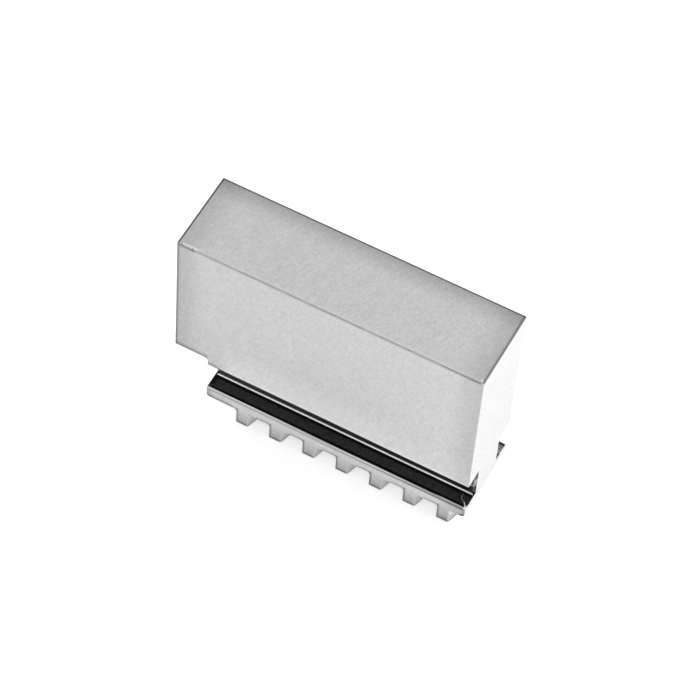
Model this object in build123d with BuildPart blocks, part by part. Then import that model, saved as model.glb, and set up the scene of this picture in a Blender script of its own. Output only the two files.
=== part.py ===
from build123d import *
import os
from math import sqrt

# Machinable soft jaw for a three-jaw scroll chuck: one solid steel bar with a plain block to be
# turned to size, a T-shaped guide under it and curved scroll teeth under the guide. Millimetres.
#
# The frame: +X runs out along the jaw, away from the chuck's centre line, +Y runs across it and
# +Z runs away from the chuck's face. The origin lies under the middle of the block, on the plane
# of the tooth tips, so the jaw stands on its teeth.

# Block
block_length = 72.0
block_width = 20.0
block_height = 38.9  # from the sliding underside to the top face
edge_break = 0.2

# Nose, the end of the block that overhangs the guide towards the chuck's centre
nose_length = 8.1
nose_relief = 2.15  # how far the nose is raised clear of the chuck's face
nose_fillet = 0.8

# Guide: a neck between two side grooves, and the flange that the chuck body's rails hold down
groove_depth = 4.5
groove_height = 8.8
groove_fillet = 0.8
neck_bevel = 0.6  # the neck's four upright corners
flange_thickness = 3.1
flange_chamfer = 0.5  # the two long upper edges of the flange
flange_end_radius = 0.8

# Scroll teeth
tooth_pitch = 8.3  # pitch of the scroll's spiral thread
tooth_height = 4.9
first_tooth = 8.4  # from the guide's inner end to the first tooth's inner flank, on the centre line
outer_flank_radius = 28.5  # no larger than the tightest turn of the scroll
inner_flank_radius = 60.0  # no smaller than the widest turn of the scroll
scroll_clearance = 0.25  # play between a tooth and the thread's groove
tooth_root_fillet = 0.7
tooth_tip_chamfer = 0.2
comb_edge_break = 0.15  # round the sides of the teeth and the flange

# Heights above the tooth tips
flange_bottom = tooth_height
flange_top = flange_bottom + flange_thickness
block_bottom = flange_top + groove_height
nose_bottom = block_bottom + nose_relief
block_top = block_bottom + block_height

# Places along and across the jaw
inner_end = -block_length / 2
outer_end = block_length / 2
guide_start = inner_end + nose_length
guide_length = outer_end - guide_start
half_width = block_width / 2
neck_width = block_width - 2 * groove_depth

# Tooth form on the centre line, and how far each flank falls back at the jaw's sides
tooth_thickness = tooth_pitch / 2 - scroll_clearance
outer_flank_drop = outer_flank_radius - sqrt(outer_flank_radius**2 - half_width**2)
inner_flank_drop = inner_flank_radius - sqrt(inner_flank_radius**2 - half_width**2)
tooth_count = int((guide_length - first_tooth - tooth_thickness) / tooth_pitch) + 1


# One tooth seen from above: two arcs bowed away from the chuck's centre, joined along the sides
with BuildSketch() as tooth_outline:
    with BuildLine():
        outer_flank = ThreePointArc(
            (tooth_thickness - outer_flank_drop, -half_width),
            (tooth_thickness, 0),
            (tooth_thickness - outer_flank_drop, half_width),
        )
        inner_flank = ThreePointArc(
            (-inner_flank_drop, half_width),
            (0, 0),
            (-inner_flank_drop, -half_width),
        )
        Line(outer_flank @ 1, inner_flank @ 0)
        Line(inner_flank @ 1, outer_flank @ 0)
    make_face()


with BuildPart() as soft_jaw:
    # Block and guide in side view, the nose standing clear of the chuck's face
    with BuildSketch(Plane.XZ) as side_view:
        with BuildLine():
            Polyline(
                (inner_end, nose_bottom),
                (guide_start, nose_bottom),
                (guide_start, flange_bottom),
                (outer_end, flange_bottom),
                (outer_end, block_top),
                (inner_end, block_top),
                close=True,
            )
        make_face()
        nose_corner = side_view.vertices().group_by(Axis.Y)[1].sort_by(Axis.X)[-1]
        fillet(nose_corner, nose_fillet)
        fillet(side_view.vertices().group_by(Axis.Y)[0], flange_end_radius)
    extrude(amount=half_width, both=True)

    # The grooves leave the neck, with a rounded corner above and below
    with BuildSketch(Plane.YZ) as groove_section:
        with Locations((half_width - groove_depth / 2, flange_top + groove_height / 2)):
            Rectangle(groove_depth, groove_height)
        fillet(groove_section.vertices().group_by(Axis.X)[0], groove_fillet)
        mirror(about=Plane.YZ)
    extrude(amount=block_length, both=True, mode=Mode.SUBTRACT)

    # Bevels on the neck's corners lead the guide into the chuck's slot
    with BuildSketch(Plane.XY.offset(flange_top)):
        with Locations(((guide_start + outer_end) / 2, 0)):
            with GridLocations(guide_length, neck_width, 2, 2):
                Rectangle(neck_bevel * sqrt(2), neck_bevel * sqrt(2), rotation=45)
    extrude(amount=groove_height, mode=Mode.SUBTRACT)

    # The teeth repeat at the scroll's pitch as far along the guide as whole teeth fit
    with BuildSketch(Plane.XY):
        for tooth in range(tooth_count):
            with Locations((guide_start + first_tooth + tooth * tooth_pitch, 0)):
                add(tooth_outline.sketch)
    extrude(amount=flange_bottom)

    # Tooth roots and tips
    flanks = soft_jaw.edges().filter_by(GeomType.CIRCLE)
    roots = flanks.filter_by(Plane.XY).filter_by_position(Axis.Z, flange_bottom, flange_bottom)
    fillet(roots, tooth_root_fillet)
    tips = soft_jaw.faces().group_by(Axis.Z)[0].edges()
    chamfer(tips, tooth_tip_chamfer)

    # Long upper edges of the flange, eased where the rails bear
    rims = soft_jaw.edges().filter_by(Axis.X).filter_by_position(Axis.Z, flange_top, flange_top)
    outer_rims = rims.group_by(Axis.Y)[0] + rims.group_by(Axis.Y)[-1]
    chamfer(outer_rims, flange_chamfer)

    # Sharp edges of the block broken
    block_sides = soft_jaw.faces().filter_by(Axis.Y).sort_by(SortBy.AREA)[-2:]
    top_face = soft_jaw.faces().sort_by(Axis.Z)[-1]
    inner_face = soft_jaw.faces().sort_by(Axis.X)[0]
    block_edges = block_sides.edges() + top_face.edges() + inner_face.edges()
    chamfer(set(block_edges), edge_break)

    # The comb of flange and teeth on each side, all but the rim that is eased above
    comb_sides = soft_jaw.faces().filter_by(Axis.Y).group_by(Axis.Z)[0]
    comb_edges = comb_sides.edges().sort_by(Axis.Z)[:-2]
    chamfer(comb_edges, comb_edge_break)


soft_jaw.part.label = "soft_jaw"

os.makedirs("parts", exist_ok=True)
export_step(soft_jaw.part, "parts/soft_jaw.step")
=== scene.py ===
from math import radians

import bpy
from mathutils import Matrix

# Machinable soft jaw on a pale studio floor, 1 Blender unit = 1 metre
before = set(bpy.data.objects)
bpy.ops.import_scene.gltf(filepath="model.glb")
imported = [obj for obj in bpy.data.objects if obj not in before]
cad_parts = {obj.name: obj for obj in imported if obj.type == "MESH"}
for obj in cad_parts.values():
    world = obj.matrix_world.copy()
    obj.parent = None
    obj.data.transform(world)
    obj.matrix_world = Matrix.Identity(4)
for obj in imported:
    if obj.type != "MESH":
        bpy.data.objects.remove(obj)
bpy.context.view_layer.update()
scene = bpy.context.scene
scene.view_settings.view_transform = "Standard"
mmPerMetre = 1000.0
print("frame loaded:", ", ".join(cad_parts))


def hexToLinear(code):
    # sRGB hex value as the linear colour that a shader socket takes, by the sRGB formula
    channels = [int(code[i:i + 2], 16) / 255 for i in (1, 3, 5)]
    linear = [c / 12.92 if c <= 0.04045 else ((c + 0.055) / 1.055) ** 2.4 for c in channels]
    return (*linear, 1.0)


def addNode(tree, kind, inputs=(), **settings):
    # inputs, in order or by name, are each a node, one of its outputs or a plain value
    node = tree.nodes.new("ShaderNode" + kind)
    for name, value in settings.items():
        setattr(node, name, value)
    for place, source in inputs.items() if isinstance(inputs, dict) else enumerate(inputs):
        if isinstance(source, bpy.types.Node):
            source = source.outputs[0]
        if isinstance(source, bpy.types.NodeSocket):
            tree.links.new(source, node.inputs[place])
        else:
            node.inputs[place].default_value = source
    return node


def newMaterial(name):
    material = bpy.data.materials.new(name)
    material.use_nodes = True
    material.node_tree.nodes.clear()
    return material, material.node_tree


# The jaw's own sizes in mm, as its finish follows them
jaw = {
    "halfLength": 36.0,
    "halfWidth": 10.0,
    "top": 55.7,
    "noseLength": 8.1,
    "noseBottom": 18.95,
    "blockBottom": 16.8,
    "flangeTop": 8.0,
    "toothHeight": 4.9,
    "toothPitch": 8.3,
    "toothHalf": 1.47,  # half a tooth's thickness at the jaw's sides
    "firstTooth": 17.13,  # from the inner end to the middle of the first tooth, at the jaw's sides
}

# A step says where a patch of the finish begins and where it is full, as a place on the jaw in mm or as
# how squarely the face looks along an axis, from 0 to 1. A patch lies where all of its steps do.
facesUp = ("upFacing", 0.80, 0.92)
facesSide = ("sideFacing", 0.80, 0.92)
facesEnd = ("endFacing", 0.80, 0.92)
notEnd = ("endFacing", 0.92, 0.80)
notUp = ("upFacing", 0.92, 0.80)
notSide = ("sideFacing", 0.92, 0.80)
slanted = ("anyFacing", 0.92, 0.80)  # broken edges and fillets
atTop = ("fromTop", 0.35, 0.25)
nearTop = ("fromTop", 0.8, 0.5)
atFront = ("fromFront", 1.0, 0.5)
atFrontEdge = ("fromFront", 0.5, 0.3)
frontHalf = ("fromFront", 10.0, 9.0)
pastNose = ("fromInnerEnd", 9.0, 11.0)
wellPastNose = ("fromInnerEnd", 11.0, 14.0)
onNose = ("fromInnerEnd", jaw["noseLength"] + 0.1, jaw["noseLength"] - 0.1)
offNose = ("fromInnerEnd", jaw["noseLength"] - 0.1, jaw["noseLength"] + 0.1)
lowOnBlock = ("height", 29.0, 18.0)
onBlock = ("height", jaw["blockBottom"] - 0.02, jaw["blockBottom"])
underBlock = ("height", jaw["blockBottom"] + 0.05, jaw["blockBottom"] + 0.01)
overFlange = ("height", jaw["flangeTop"] - 0.05, jaw["flangeTop"] - 0.01)
upperRim = ("height", jaw["flangeTop"] - 0.36, jaw["flangeTop"] - 0.26)
lowerRim = ("height", jaw["flangeTop"] - 0.22, jaw["flangeTop"] - 0.32)
belowRim = ("height", jaw["flangeTop"] - 0.95, jaw["flangeTop"] - 0.65)
ofTop = (atTop, facesUp)
ofBlock = (facesSide, onBlock)
ofComb = (facesSide, ("height", jaw["blockBottom"], jaw["blockBottom"] - 0.02))  # flange and teeth
ofFlank = (facesEnd, ("height", jaw["toothHeight"], jaw["toothHeight"] - 0.1))
ofGroove = (overFlange, underBlock)
nick = (("fromInnerEnd", 3.38, 3.62), ("fromInnerEnd", 4.22, 3.98), nearTop, atFrontEdge)
backCorner = (("fromOuterEnd", 3.0, 2.0), ("fromBack", 5.0, 4.0))

# painted highlights on the front of the neck: a ring around its outer corner and the patch above it
nearNeck = ("fromCentre", 6.2, 5.8)
ring = (("height", 10.55, 10.80), ("height", 11.35, 11.10), frontHalf)
glintPatch = (("fromOuterEnd", 1.8, 1.1), nearNeck, frontHalf, ("height", 13.2, 12.6))

groundSteel = {
    "roughness": 0.36,
    "roughnessSwing": 0.05,
    "specular": 0.1,  # of the grooves, which are painted near black as shade and are not metallic
    "markDepth": 0.002,  # mm
    # Grain and grinding marks are under 0.1 mm wide on a real jaw, too fine to show, so they are drawn
    # coarser. Sizes are in mm, and turn is the marks' angle to the jaw's length in degrees.
    "grain": {"size": 0.42, "contrast": 0.46, "seed": 3.0},
    "cloud": {"size": 1.1, "contrast": 0.24, "seed": 17.0},  # soft mottling under the grain
    "topLay": {"size": 0.40, "length": 4.0, "turn": 66.0, "contrast": 0.24, "seed": 29.0},
    "sideLay": {"size": 0.40, "length": 4.0, "turn": 66.0, "contrast": 0.168, "seed": 41.0},
    "blotch": {"size": 3.0, "seed": 53.0},  # uneven tone of the broken front edge
    "noise": {"Detail": 2.0, "Roughness": 0.7},  # of every pattern
    # The painted shade along the border of flange and teeth: how steeply it fades in from a tooth's inner
    # side, outer side and tip, how far above the tooth's root it starts in mm, and where the flange has
    # less or none
    "border": {
        "innerSide": 1.6, "outerSide": -12.0, "tip": 0.75, "start": 0.05,
        "overFlank": [("fromTooth", 0.0, 0.3), ("fromTooth", 3.7, 3.3), ("fromInnerEnd", 15.5, 16.0)],
        "pastTeeth": [("fromOuterEnd", 3.2, 2.8), ("fromOuterEnd", 1.5, 2.0)],
        "pastInnerPart": (0.30, [("fromInnerEnd", 14.4, 15.0)]),
    },
    # the curl of swarf on the flange: centre of each arc from the outer end and the front, and radius
    "curl": {
        "fromCurlTail": ((0.70, 3.18), 1.52),
        "fromCurlMiddle": ((3.23, -0.32), 2.94),
    },
    # Each layer lies over the ones before it. Its patches change its tone by a share of it.
    "layers": {
        "faces": {
            "colour": "#BEBEBE", "contrast": 1.0,
            "patches": {
                # painted shade: each face darker towards its ends, and the top darker towards its back
                # edge; a painted sheen along the top's front edge
                "ends": (-0.20, [("fromEnd", 8.0, 0.0), notEnd]),
                "topBack": (-0.38, [("fromBack", 6.5, -1.5), *ofTop]),
                "topShine": (0.06, [("fromFront", 1.1, 0.7), *ofTop]),
                # a burr at the inner end of the top's front edge drawn as a painted highlight, and a
                # painted glint near the top's outer front corner
                "burrHighlight": (0.42, [("fromInnerEnd", 1.0, 1.5), ("fromInnerEnd", 5.0, 4.5),
                                ("fromFront", 0.75, 0.60), *ofTop]),
                "cornerGlint": (0.75, [("fromOuterEnd", 0.97, 0.85), ("fromOuterEnd", 0.53, 0.65),
                                 ("fromFront", 0.53, 0.70), ("fromFront", 1.17, 1.0), *ofTop]),
                # painted shade: dark lines along the top's inner, outer and back edges, and darker strips
                # under and behind its front edge
                "innerRim": (-0.82, [("fromInnerEnd", 0.55, 0.38), atTop]),
                "outerRimFade": (-0.12, [("fromOuterEnd", 0.9, 0.5), atTop]),
                "outerRim": (-0.48, [("fromOuterEnd", 0.50, 0.38), atTop]),
                "backRim": (-0.65, [("fromBack", 0.64, 0.47), atTop]),
                "frontStrip": (-0.14, [("fromTop", 0.95, 0.3), facesSide, atFront]),
                "underFrontEdge": (-0.28, [("fromTop", 0.42, 0.32), facesSide, atFront]),
                "behindFrontEdge": (-0.22, [("fromFront", 0.36, 0.28), *ofTop]),
                "bruise": (-0.37, [nearTop, ("fromInnerEnd", 4.6, 4.2), facesSide, atFront]),
                "nick": (-0.36, nick),
                # painted shade along the block's inner edge, under its nose and at its lower inner corner
                "innerEdge": (-0.55, [("fromInnerEnd", 0.9, 0.25), *ofBlock]),
                "noseEdge": (-0.47, [("height", jaw["noseBottom"] + 1.9, jaw["noseBottom"] + 0.5),
                                     onNose, *ofBlock]),
                "blockCorner": (-0.47, [("height", jaw["blockBottom"] + 1.9, jaw["blockBottom"] + 0.5),
                                        offNose, ("fromInnerEnd", 11.8, 9.8), *ofBlock]),
                # painted light: a glow low on the block's sides and along their lower edge, less of it
                # near the outer end
                "lowGlow": (0.16, [lowOnBlock, wellPastNose, *ofBlock]),
                "lessGlow": (-0.09, [lowOnBlock, ("fromOuterEnd", 26.0, 8.0), *ofBlock]),
                "edgeGlow": (0.10, [("height", jaw["blockBottom"] + 1.7, jaw["blockBottom"] + 0.7),
                                    wellPastNose, *ofBlock]),
                # painted shade along the block's lower edge over the groove, more towards the inner half,
                # and in the neck's fillet
                "lowEdge": (-0.80, [("height", jaw["blockBottom"] + 0.35, jaw["blockBottom"] + 0.05),
                                    pastNose, *ofBlock]),
                "lowEdgeInner": (-0.90, [("height", jaw["blockBottom"] + 0.60, jaw["blockBottom"] + 0.25),
                                         pastNose, ("fromOuterEnd", 14.0, 36.0), *ofBlock]),
                "neckFillet": (-0.12, [("fromCentre", 6.6, 6.4),
                                       ("height", jaw["blockBottom"], jaw["blockBottom"] - 0.1)]),
                "neckFilletEnd": (-0.85, [("fromInnerEnd", 8.8, 8.5), ("fromCentre", 6.6, 6.4), slanted,
                                          *ofGroove]),
                # the sides of flange and teeth a little lighter, then painted shade: darker towards the
                # tooth tips, a painted dark outline along flange and teeth, darker towards both ends, low
                # at the inner end and at the outer lower corner
                "comb": (0.13, ofComb),
                "toothTips": (-0.37, [("height", 7.0, 0.2), *ofComb]),
                "combBorder": (-0.68, [("inComb", 1.25, 0.25), *ofComb]),
                "combInnerEnd": (-0.45, [("fromInnerEnd", 10.5, 7.8), *ofComb]),
                "combOuterEnd": (-0.26, [("fromOuterEnd", 9.0, 0.0), *ofComb]),
                "flangeInnerEnd": (-0.12, [("fromInnerEnd", 16.0, 13.0), ("fromInnerEnd", 8.5, 10.0),
                                           ("height", 7.4, 6.6), ("height", 5.5, 6.0), *ofComb]),
                "flangeCorner": (-0.75, [("fromOuterCorner", 7.1, 5.9), ("fromOuterEnd", 2.4, 1.6),
                                         *ofComb]),
                "flangeEnd": (-0.25, [("fromOuterEnd", 0.8, 0.2), ("height", 7.6, 7.0), *ofComb]),
                # painted shade in a line under the flange's broken top edge, stronger on the outer half
                "underRim": (-0.06, [belowRim, *ofComb]),
                "underRimOuter": (-0.30, [belowRim, ("fromInnerEnd", 26.0, 42.0), *ofComb]),
                # painted light on the tooth flanks, with painted shade towards their tips, along the
                # lower edges of the teeth and on the last flank
                "flanks": (0.24, ofFlank),
                "flankTips": (-0.30, [("height", 4.2, 1.0), *ofFlank]),
                "tipEdges": (-0.50, [("height", 0.95, 0.35), notSide]),
                "lastFlank": (-0.10, [("fromOuterEnd", 10.0, 6.0), *ofFlank]),
            },
        },
        # painted light: the end faces in a lighter copy of the steel, with painted shade along their top
        # edge
        "ends": {
            "colour": "#D2D2D2", "contrast": 1.0,
            "where": [facesEnd, ("height", jaw["toothHeight"] - 0.1, jaw["toothHeight"])],
            "patches": {"topRim": (-0.64, [atTop])},
        },
        # painted shade: the top's broken front edge in a darker copy of the steel, of uneven tone and
        # darker towards the outer end, with a painted glint at the outer corner; the nick is a dent
        "frontEdge": {
            "colour": "#868686", "noise": "blotches", "contrast": 0.9,
            "where": [slanted, atTop, atFrontEdge],
            "patches": {
                "outerEnd": (-0.28, [("fromOuterEnd", 18.0, 1.5)]),
                "outerCorner": (1.60, [("fromOuterEnd", 0.65, 0.40)]),
                "nick": (-0.36, nick),
            },
        },
        # painted shade: the flange's broken top edge in a darker copy of the steel, darker towards the
        # outer end, along its very top and along its lower side, with a painted highlight along its upper
        # side; under the curl of swarf it is light
        "flangeEdge": {
            "colour": "#9C9C9C",
            "where": [slanted, ("fromSide", 0.55, 0.48),
                      ("height", jaw["flangeTop"] - 0.6, jaw["flangeTop"] - 0.5),
                      ("height", jaw["flangeTop"] + 0.1, jaw["flangeTop"])],
            "patches": {
                "outerHalf": (-0.60, [("fromOuterEnd", 26.0, -6.0)]),
                "upper": (0.14, [upperRim]),
                "upperOuter": (0.30, [upperRim, ("fromInnerEnd", 34.0, 50.0)]),
                "top": (-0.90, [("height", jaw["flangeTop"] - 0.18, jaw["flangeTop"] - 0.06),
                                ("fromInnerEnd", 18.0, 42.0), ("fromOuterEnd", 5.0, 8.0)]),
                "lower": (-0.19, [lowerRim]),
                "lowerOuter": (-0.20, [lowerRim, ("fromInnerEnd", 44.0, 60.0)]),
                "underCurl": (1.60, [("fromOuterEnd", 0.7, 0.5)]),
            },
        },
        # painted shade: the grooves near black, darker along the flange's rim, by the neck and towards
        # both ends, the neck's walls less dark towards the inner end
        "groove": {
            "colour": "#404040", "contrast": 3.5,
            "where": [("crossFacing", 0.80, 0.92), *ofGroove],
            "patches": {
                "neckSides": (-0.50, [notUp]),
                "neckInnerHalf": (1.0, [("fromInnerEnd", 56.0, 14.0), notUp]),
                "innerCorner": (-0.90, [("fromCentre", 6.9, 6.3), facesUp]),
                "rim": (-1.0, [("fromSide", 1.35, 0.80), ("fromInnerEnd", 8.5, 9.0), facesUp]),
                "innerPart": (-0.30, [("fromInnerEnd", 12.5, 9.5), facesUp]),
                "innerEnd": (-0.95, [("fromInnerEnd", 9.4, 8.8), ("fromSide", 1.2, 1.7), facesUp]),
                "outerEnd": (-0.65, [("fromOuterEnd", 9.0, 0.0), ("fromBack", 4.0, 5.0)]),
                # painted light at the back corner of the outer end, and painted highlights on the front
                # of the neck by its outer corner
                "backCorner": (3.8, backCorner),
                "backCornerInside": (0.88, [*backCorner, ("fromBack", 1.5, 4.0)]),
                "glintRing": (5.0, [("fromOuterEnd", 1.7, 1.4), nearNeck, *ring]),
                "glintNeck": (3.0, glintPatch),
                "glintNeckTop": (2.75, [*glintPatch, ("height", 10.8, 11.6)]),
            },
        },
        "curlTail": {
            "colour": "#D2D2D2", "opacity": 0.22,
            "where": [("fromCurlTail", 0.13, 0.05), ("fromFront", 1.71, 1.75),
                      ("fromFront", 3.50, 3.46), ("fromOuterEnd", 0.70, 0.80), facesUp, *ofGroove],
        },
        "curlMiddle": {
            "colour": "#D2D2D2",
            "where": [("fromCurlMiddle", 0.13, 0.05), ("fromFront", 0.03, 0.07),
                      ("fromFront", 1.75, 1.71), ("fromOuterEnd", 3.23, 3.13), facesUp, *ofGroove],
        },
        "curlEnd": {
            "colour": "#D2D2D2",
            "where": [("fromOuterEnd", 0.55, 0.40), ("fromFront", 1.3, 0.8), facesUp, *ofGroove],
        },
        # painted shade: the neck's broken corners in a darker copy of the steel, darker at foot and head,
        # with a band of painted highlight in the ring
        "neckBevel": {
            "colour": "#8D8D8D", "contrast": 5.0,
            "where": [slanted, ("fromCentre", 5.56, 5.50), *ofGroove],
            "patches": {
                "ring": (1.4, ring),
                "foot": (-0.86, [("height", 12.0, 10.6)]),
                "head": (-0.74, [("height", 12.8, 14.2)]),
            },
        },
    },
}


def findPlaces(tree):
    # where a point lies on the jaw in mm, and how squarely its face looks along each axis
    coords = addNode(tree, "TexCoord")
    point = addNode(tree, "VectorMath", {0: coords.outputs["Object"], "Scale": mmPerMetre},
                    operation="SCALE")
    normal = addNode(tree, "VectorMath", [coords.outputs["Normal"]], operation="ABSOLUTE")
    along, across, height = addNode(tree, "SeparateXYZ", [point]).outputs
    endFacing, sideFacing, upFacing = addNode(tree, "SeparateXYZ", [normal]).outputs
    fromCentre = addNode(tree, "Math", [across], operation="ABSOLUTE")
    fromOuterEnd = addNode(tree, "Math", [jaw["halfLength"], along], operation="SUBTRACT")
    fromInnerEnd = addNode(tree, "Math", [jaw["halfLength"], along], operation="ADD")
    crossFacing = addNode(tree, "Math", [sideFacing, upFacing], operation="MAXIMUM")
    return {
        "point": point,
        "sidePoint": addNode(tree, "CombineXYZ", [along, height, across]),
        "height": height,
        "fromTop": addNode(tree, "Math", [jaw["top"], height], operation="SUBTRACT"),
        "fromCentre": fromCentre,
        "fromSide": addNode(tree, "Math", [jaw["halfWidth"], fromCentre], operation="SUBTRACT"),
        "fromFront": addNode(tree, "Math", [jaw["halfWidth"], across], operation="ADD"),
        "fromBack": addNode(tree, "Math", [jaw["halfWidth"], across], operation="SUBTRACT"),
        "fromOuterEnd": fromOuterEnd,
        "fromInnerEnd": fromInnerEnd,
        "fromEnd": addNode(tree, "Math", [fromOuterEnd, fromInnerEnd], operation="MINIMUM"),
        "fromOuterCorner": addNode(tree, "Math", [fromOuterEnd, height], operation="ADD"),
        "endFacing": endFacing,
        "sideFacing": sideFacing,
        "upFacing": upFacing,
        "crossFacing": crossFacing,
        "anyFacing": addNode(tree, "Math", [crossFacing, endFacing], operation="MAXIMUM"),
    }


def cells(tree, point, pattern, noise):
    # noise in cells of the pattern's size, centred on 0; its length draws them out along one direction
    size, seed = pattern["size"], pattern["seed"]
    length, turn = pattern.get("length", size), pattern.get("turn", 0.0)
    placed = addNode(tree, "Mapping", {"Vector": point, "Rotation": (0, 0, radians(-turn)),
                                       "Location": (seed, seed, seed)}, vector_type="POINT")
    scaled = addNode(tree, "VectorMath", [placed, (1 / length, 1 / size, 1 / size)],
                     operation="MULTIPLY")
    value = addNode(tree, "TexNoise", {"Vector": scaled, "Scale": 1.0, **noise}, noise_dimensions="3D")
    return addNode(tree, "Math", [value, 0.5], operation="SUBTRACT")


def cover(tree, places, steps, amount=1.0):
    # the amount where every step is full, 0 where any has not begun
    total = None
    for place, start, full in steps:
        step = addNode(tree, "MapRange", [places[place], start, full, 0.0, 1.0 if total else amount],
                       interpolation_type="SMOOTHSTEP")
        total = addNode(tree, "Math", [total, step], operation="MULTIPLY") if total else step
    return total


def addMarks(tree, places, steel):
    # grinding marks, which lie on the top and, weaker, on the sides, then grain and mottling
    topLay = cells(tree, places["point"], steel["topLay"], steel["noise"])
    sideLay = cells(tree, places["sidePoint"], steel["sideLay"], steel["noise"])
    onTop = cover(tree, places, [facesUp], steel["topLay"]["contrast"])
    onSide = cover(tree, places, [facesSide], steel["sideLay"]["contrast"])
    marks = addNode(tree, "Math", [topLay, onTop], operation="MULTIPLY")
    marks = addNode(tree, "Math", [sideLay, onSide, marks], operation="MULTIPLY_ADD")
    for pattern in (steel["grain"], steel["cloud"]):
        spots = cells(tree, places["point"], pattern, steel["noise"])
        marks = addNode(tree, "Math", [spots, pattern["contrast"], marks], operation="MULTIPLY_ADD")
    places["marks"] = marks
    places["blotches"] = cells(tree, places["point"], steel["blotch"], steel["noise"])


def addCombDepth(tree, places, border):
    # how far in a point lies from the outline that the painted shade along the border of flange and teeth
    # follows
    halfPitch = jaw["toothPitch"] / 2
    fromTooth = addNode(tree, "Math", [places["fromInnerEnd"], jaw["firstTooth"]], operation="SUBTRACT")
    fromTooth = addNode(tree, "Math", [fromTooth, halfPitch, -halfPitch], operation="WRAP")
    places["fromTooth"] = fromTooth
    # no tooth inside the first one, although the pitch repeats there
    inTooth = addNode(tree, "Math", [places["fromInnerEnd"], jaw["firstTooth"] - halfPitch],
                      operation="SUBTRACT")
    tip = addNode(tree, "Math", [places["height"], border["tip"]], operation="MULTIPLY")
    sides = [addNode(tree, "Math", [fromTooth, steepness, steepness * toSide], operation="MULTIPLY_ADD")
             for steepness, toSide in ((border["innerSide"], jaw["toothHalf"]),
                                       (border["outerSide"], -jaw["toothHalf"]))]
    for depth in (tip, *sides):
        inTooth = addNode(tree, "Math", [inTooth, depth], operation="MINIMUM")
    # the flange has no painted shade at its border over the outer flank of a tooth
    overFlank = cover(tree, places, border["overFlank"])
    pastTeeth = cover(tree, places, border["pastTeeth"])
    less, pastInnerPart = border["pastInnerPart"]
    bare = addNode(tree, "Math", [overFlank, pastTeeth], operation="MAXIMUM")
    bare = addNode(tree, "Math", [bare, cover(tree, places, pastInnerPart, less)], operation="ADD")
    inFlange = addNode(tree, "Math", [places["height"], jaw["toothHeight"] + border["start"]],
                       operation="SUBTRACT")
    inFlange = addNode(tree, "Math", [inFlange, bare], operation="ADD")
    places["inComb"] = addNode(tree, "Math", [inTooth, inFlange], operation="MAXIMUM")


def fromArc(tree, places, centre, radius):
    # how far a point of the flange's top lies from the line of an arc
    point = addNode(tree, "CombineXYZ", [places["fromOuterEnd"], places["fromFront"]])
    reach = addNode(tree, "VectorMath", [point, (*centre, 0.0)], operation="DISTANCE").outputs["Value"]
    aside = addNode(tree, "Math", [reach, radius], operation="SUBTRACT")
    return addNode(tree, "Math", [aside], operation="ABSOLUTE")


def layOver(tree, places, layer, under):
    # one layer over what is under it; returns the colour and how far the layer covers it
    noise = places[layer.get("noise", "marks")]
    tone = addNode(tree, "Math", [noise, layer.get("contrast", 0.0), 1.0], operation="MULTIPLY_ADD")
    for change, steps in layer.get("patches", {}).values():
        patch = cover(tree, places, steps, change)
        tone = addNode(tree, "Math", [tone, patch, tone], operation="MULTIPLY_ADD")
    tone = addNode(tree, "Math", [tone, 0.0], operation="MAXIMUM")
    colour = addNode(tree, "VectorMath", {0: hexToLinear(layer["colour"])[:3], "Scale": tone},
                     operation="SCALE")
    if under is None:
        return colour, None
    covered = cover(tree, places, layer["where"], layer.get("opacity", 1.0))
    # a Mix node has its two colours on inputs 6 and 7 and the mixed one on output 2
    mixed = addNode(tree, "Mix", {0: covered, 6: under, 7: colour}, data_type="RGBA").outputs[2]
    return mixed, covered


def makeGroundSteel(steel):
    # Bare steel off the surface grinder: pale, even and satin, with fine grain and short slanting marks;
    # painted shade darkens each face towards its ends and edges and makes the grooves near black, and
    # painted highlights lie in a few places
    material, tree = newMaterial("groundSteel")
    places = findPlaces(tree)
    addMarks(tree, places, steel)
    addCombDepth(tree, places, steel["border"])
    for name, (centre, radius) in steel["curl"].items():
        places[name] = fromArc(tree, places, centre, radius)
    colour = None
    covers = {}
    for name, layer in steel["layers"].items():
        colour, covers[name] = layOver(tree, places, layer, colour)
    # the grooves' painted shade is not metallic
    metallic = addNode(tree, "Math", [1.0, covers["groove"]], operation="SUBTRACT")
    roughness = addNode(tree, "Math", [places["marks"], steel["roughnessSwing"], steel["roughness"]],
                        operation="MULTIPLY_ADD")
    bump = addNode(tree, "Bump", {"Height": places["marks"],
                                  "Distance": steel["markDepth"] / mmPerMetre})
    shader = addNode(tree, "BsdfPrincipled", {"Base Color": colour, "Metallic": metallic,
                                              "Roughness": roughness, "Normal": bump,
                                              "Specular IOR Level": steel["specular"]})
    addNode(tree, "OutputMaterial", {"Surface": shader})
    return material


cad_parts["soft_jaw"].material_slots[0].material = makeGroundSteel(groundSteel)
print("jaw finished in ground steel")


studio = {
    "floorSize": 4.0,
    "floor": "#F4F4F4",
    "floorGlow": 0.50,
    "backdrop": "#FFFFFF",
    # strength of the backdrop as the camera sees it, as the steel reflects it and as it lights the jaw
    "seen": 1.0,
    "reflected": 1.0,
    "ambient": 0.50,
    "aimHeight": 0.03,
    # each lamp: azimuth from +X and elevation in degrees, distance and width in metres, watts
    "lamps": {
        "key": (-110, 50, 0.9, 0.6, 1.6),
        "right": (30, 45, 0.35, 0.25, 0.6),
        "back": (140, 15, 0.9, 0.6, 1.5),
    },
}


def seenDirectly(tree, rays):
    # 1 for what the camera, a reflection or a clear pane shows, 0 for what only lights the jaw
    shown = rays["Is Camera Ray"]
    for kind in ("Is Glossy Ray", "Is Transmission Ray"):
        shown = addNode(tree, "Math", [shown, rays[kind]], operation="ADD", use_clamp=True)
    return shown


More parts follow.
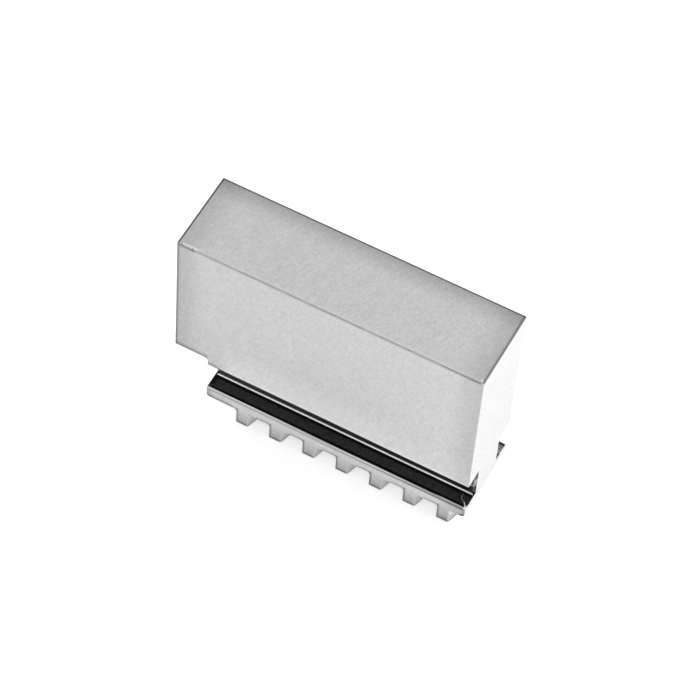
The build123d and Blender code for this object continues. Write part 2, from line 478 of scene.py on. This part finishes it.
def makeFloor():
    # matt white studio sweep, a little self-lit so that it meets the white background
    bpy.ops.mesh.primitive_plane_add(size=studio["floorSize"])
    floor = bpy.context.object
    floor.name = "studioFloor"
    material, tree = newMaterial("studioWhite")
    shown = seenDirectly(tree, addNode(tree, "LightPath").outputs)
    matt = addNode(tree, "BsdfDiffuse", {"Color": hexToLinear(studio["floor"])})
    strength = addNode(tree, "Math", [shown, studio["floorGlow"]], operation="MULTIPLY")
    glow = addNode(tree, "Emission", {"Strength": strength})
    both = addNode(tree, "AddShader", [matt, glow])
    addNode(tree, "OutputMaterial", {"Surface": both})
    floor.data.materials.append(material)


def makeWorld():
    world = bpy.data.worlds.new("studio")
    scene.world = world
    world.use_nodes = True
    tree = world.node_tree
    tree.nodes.clear()
    rays = addNode(tree, "LightPath").outputs
    # a Mix node has its two numbers on inputs 2 and 3
    light = addNode(tree, "Mix", {0: seenDirectly(tree, rays),
                                  2: studio["ambient"], 3: studio["reflected"]})
    strength = addNode(tree, "Mix", {0: rays["Is Camera Ray"], 2: light, 3: studio["seen"]})
    background = addNode(tree, "Background", {"Color": hexToLinear(studio["backdrop"]),
                                              "Strength": strength})
    addNode(tree, "OutputWorld", {"Surface": background})


def addLamp(name, azimuth, elevation, distance, width, watts):
    light = bpy.data.lights.new(name, "AREA")
    light.shape = "DISK"
    light.size = width
    light.energy = watts
    lamp = bpy.data.objects.new(name, light)
    scene.collection.objects.link(lamp)
    # it shines down its own Z, so it is tipped over, swung round and drawn back from its aim
    tip = Matrix.Rotation(radians(90 - elevation), 4, "X")
    swing = Matrix.Rotation(radians(azimuth + 90), 4, "Z")
    aim = Matrix.Translation((0, 0, studio["aimHeight"]))
    lamp.matrix_world = aim @ swing @ tip @ Matrix.Translation((0, 0, distance))


makeFloor()
makeWorld()
for lampName, values in studio["lamps"].items():
    addLamp(lampName, *values)
print("studio built")


# Where the photograph was taken from, worked back from the block's edges: metres, degrees and mm
view = {
    "place": (0.1711, -0.3861, 0.6308),
    "azimuth": 23.75,
    "elevation": 54.89,
    "roll": 5.23,
    "lens": 176.4,
    "sensorWidth": 36.0,
}


def addCamera():
    data = bpy.data.cameras.new("camera")
    data.sensor_width = view["sensorWidth"]
    data.lens = view["lens"]
    camera = bpy.data.objects.new("camera", data)
    scene.collection.objects.link(camera)
    turn = Matrix.Rotation(radians(view["azimuth"]), 4, "Z")
    tip = Matrix.Rotation(radians(90 - view["elevation"]), 4, "X")
    roll = Matrix.Rotation(radians(view["roll"]), 4, "Z")
    camera.matrix_world = Matrix.Translation(view["place"]) @ turn @ tip @ roll
    scene.camera = camera


addCamera()
print("camera set")
